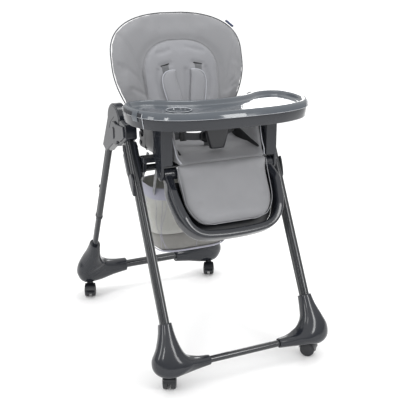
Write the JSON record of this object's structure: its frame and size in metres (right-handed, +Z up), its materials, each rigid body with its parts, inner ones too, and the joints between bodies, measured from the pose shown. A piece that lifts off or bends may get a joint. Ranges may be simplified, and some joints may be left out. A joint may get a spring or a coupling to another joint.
{
  "type": "baby high chair",
  "caption": "Folding baby high chair on casters with a height-adjustable padded seat, reclining back, tilting leg rest, sliding tray and a storage bag under the seat.",
  "frame": {"origin": "On the floor at the middle of the chair's footprint, under the middle of its bounding box.", "axes": "+Z is up, -Y is the way the child faces, +X is to the right seen from the front."},
  "size_m": [0.6, 0.8485, 1.0541],
  "materials": {
    "slate_plastic": "gloss",
    "dark_plastic": "satin",
    "painted_tube": "satin",
    "cover_plastic": "gloss",
    "grey_leatherette": "soft sheen",
    "grey_webbing": "woven",
    "mesh_fabric": "woven mesh",
    "wheel_rubber": "satin"
  },
  "bodies": {
    "front_frame": {"front_leg_left": "painted_tube", "front_leg_right": "painted_tube", "front_cross_bar": "painted_tube", "front_foot_left": "slate_plastic", "front_foot_right": "slate_plastic", "front_hinge_left": "slate_plastic", "front_hinge_right": "slate_plastic", "hinge_bush_left": "painted_tube", "hinge_bush_right": "painted_tube"},
    "rear_frame": {"rear_leg_upper_left": "painted_tube", "rear_leg_upper_right": "painted_tube", "rear_leg_lower_left": "painted_tube", "rear_leg_lower_right": "painted_tube", "rear_cross_bar": "painted_tube", "rear_foot_left": "slate_plastic", "rear_foot_right": "slate_plastic", "rear_hinge_left": "slate_plastic", "rear_hinge_right": "slate_plastic", "leg_hook_left": "dark_plastic", "leg_hook_right": "dark_plastic"},
    "fold_button_left": {"fold_button_left": "dark_plastic"},
    "fold_button_right": {"fold_button_right": "dark_plastic"},
    "seat_carriage": {"slider_left": "slate_plastic", "slider_right": "slate_plastic", "seat_cross_tube": "painted_tube", "seat_shell": "dark_plastic", "seat_cushion": "grey_leatherette", "arm_post_left": "slate_plastic", "arm_post_right": "slate_plastic", "basket": "mesh_fabric", "lap_belt": "grey_webbing", "buckle": "dark_plastic"},
    "height_trigger_left": {"height_trigger_left": "dark_plastic"},
    "height_trigger_right": {"height_trigger_right": "dark_plastic"},
    "buckle_button": {"buckle_button": "slate_plastic"},
    "backrest": {"back_shell": "dark_plastic", "back_cushion": "grey_leatherette", "back_insert": "grey_leatherette", "shoulder_strap_left": "grey_webbing", "shoulder_strap_right": "grey_webbing", "shoulder_pad_left": "grey_leatherette", "shoulder_pad_right": "grey_leatherette"},
    "recline_handle": {"recline_handle": "slate_plastic"},
    "leg_rest": {"leg_rest_frame": "slate_plastic", "leg_rest_panel": "dark_plastic", "calf_pad": "grey_leatherette"},
    "tray": {"tray_base": "slate_plastic", "crotch_post": "dark_plastic"},
    "tray_cover": {"tray_cover": "cover_plastic"},
    "tray_release": {"tray_release": "slate_plastic"},
    "caster_front_left": {"caster_hood_front_left": "dark_plastic"},
    "wheels_front_left": {"caster_wheels_front_left": "wheel_rubber"},
    "caster_front_right": {"caster_hood_front_right": "dark_plastic"},
    "wheels_front_right": {"caster_wheels_front_right": "wheel_rubber"},
    "caster_rear_left": {"caster_hood_rear_left": "dark_plastic"},
    "wheels_rear_left": {"caster_wheels_rear_left": "wheel_rubber"},
    "brake_rear_left": {"brake_pedal_rear_left": "slate_plastic"},
    "caster_rear_right": {"caster_hood_rear_right": "dark_plastic"},
    "wheels_rear_right": {"caster_wheels_rear_right": "wheel_rubber"},
    "brake_rear_right": {"brake_pedal_rear_right": "slate_plastic"}
  },
  "joints": [
    {"name": "frame_fold", "type": "hinge", "parent": "front_frame", "child": "rear_frame", "pos_m": [0, 0.005, 0.705], "axis": [-1, 0, 0], "range_deg": [0, 50]},
    {"name": "seat_height", "type": "slide", "parent": "front_frame", "child": "seat_carriage", "axis": [0, -0.4664, -0.8846], "range_m": [0, 0.22]},
    {"name": "recline", "type": "hinge", "parent": "seat_carriage", "child": "backrest", "pos_m": [0, 0.05, 0.655], "axis": [-1, 0, 0], "range_deg": [0, 35]},
    {"name": "recline_handle_pull", "type": "slide", "parent": "backrest", "child": "recline_handle", "axis": [0, 0.2756, 0.9613], "range_m": [0, 0.006], "stiffness_N_per_m": 400, "springref_m": -0.004},
    {"name": "leg_rest_tilt", "type": "hinge", "parent": "seat_carriage", "child": "leg_rest", "pos_m": [0, -0.195, 0.61], "axis": [-1, 0, 0], "range_deg": [-30, 45]},
    {"name": "buckle_press", "type": "slide", "parent": "seat_carriage", "child": "buckle_button", "axis": [0, 1, 0], "range_m": [0, 0.002], "stiffness_N_per_m": 500, "springref_m": -0.001},
    {"name": "tray_slide", "type": "slide", "parent": "seat_carriage", "child": "tray", "axis": [0, -1, 0], "range_m": [0, 0.06]},
    {"name": "tray_cover_lift", "type": "slide", "parent": "tray", "child": "tray_cover", "axis": [0, 0, 1], "range_m": [0, 0.05]},
    {"name": "tray_release_pull", "type": "slide", "parent": "tray", "child": "tray_release", "axis": [0, -1, 0], "range_m": [0, 0.006], "stiffness_N_per_m": 400, "springref_m": -0.004},
    {"name": "fold_button_press_left", "type": "slide", "parent": "front_frame", "child": "fold_button_left", "axis": [1, 0, 0], "range_m": [0, 0.0055], "stiffness_N_per_m": 500, "springref_m": -0.002},
    {"name": "height_trigger_squeeze_left", "type": "slide", "parent": "seat_carriage", "child": "height_trigger_left", "axis": [0, -0.8846, 0.4664], "range_m": [0, 0.004], "stiffness_N_per_m": 600, "springref_m": -0.002},
    {"name": "fold_button_press_right", "type": "slide", "parent": "front_frame", "child": "fold_button_right", "axis": [-1, 0, 0], "range_m": [0, 0.0055], "stiffness_N_per_m": 500, "springref_m": -0.002},
    {"name": "height_trigger_squeeze_right", "type": "slide", "parent": "seat_carriage", "child": "height_trigger_right", "axis": [0, -0.8846, 0.4664], "range_m": [0, 0.004], "stiffness_N_per_m": 600, "springref_m": -0.002},
    {"name": "swivel_front_left", "type": "hinge", "parent": "front_frame", "child": "caster_front_left", "pos_m": [-0.25, -0.38, 0.0615], "axis": [0, 0, 1], "continuous": true},
    {"name": "roll_front_left", "type": "hinge", "parent": "caster_front_left", "child": "wheels_front_left", "pos_m": [-0.24493, -0.36912, 0.0235], "axis": [0.9063, -0.4226, 0], "continuous": true},
    {"name": "swivel_front_right", "type": "hinge", "parent": "front_frame", "child": "caster_front_right", "pos_m": [0.25, -0.38, 0.0615], "axis": [0, 0, 1], "continuous": true},
    {"name": "roll_front_right", "type": "hinge", "parent": "caster_front_right", "child": "wheels_front_right", "pos_m": [0.24229, -0.37081, 0.0235], "axis": [0.766, 0.6428, 0], "continuous": true},
    {"name": "swivel_rear_left", "type": "hinge", "parent": "rear_frame", "child": "caster_rear_left", "pos_m": [-0.25, 0.38, 0.0615], "axis": [0, 0, 1], "continuous": true},
    {"name": "roll_rear_left", "type": "hinge", "parent": "caster_rear_left", "child": "wheels_rear_left", "pos_m": [-0.2541, 0.36872, 0.0235], "axis": [-0.9397, 0.342, 0], "continuous": true},
    {"name": "brake_press_rear_left", "type": "hinge", "parent": "caster_rear_left", "child": "brake_rear_left", "pos_m": [-0.26358, 0.34269, 0.0285], "axis": [0.9397, -0.342, 0], "range_deg": [0, 18]},
    {"name": "swivel_rear_right", "type": "hinge", "parent": "rear_frame", "child": "caster_rear_right", "pos_m": [0.25, 0.38, 0.0615], "axis": [0, 0, 1], "continuous": true},
    {"name": "roll_rear_right", "type": "hinge", "parent": "caster_rear_right", "child": "wheels_rear_right", "pos_m": [0.24493, 0.36912, 0.0235], "axis": [-0.9063, 0.4226, 0], "continuous": true},
    {"name": "brake_press_rear_right", "type": "hinge", "parent": "caster_rear_right", "child": "brake_rear_right", "pos_m": [0.23322, 0.34402, 0.0285], "axis": [0.9063, -0.4226, 0], "range_deg": [0, 18]}
  ]
}
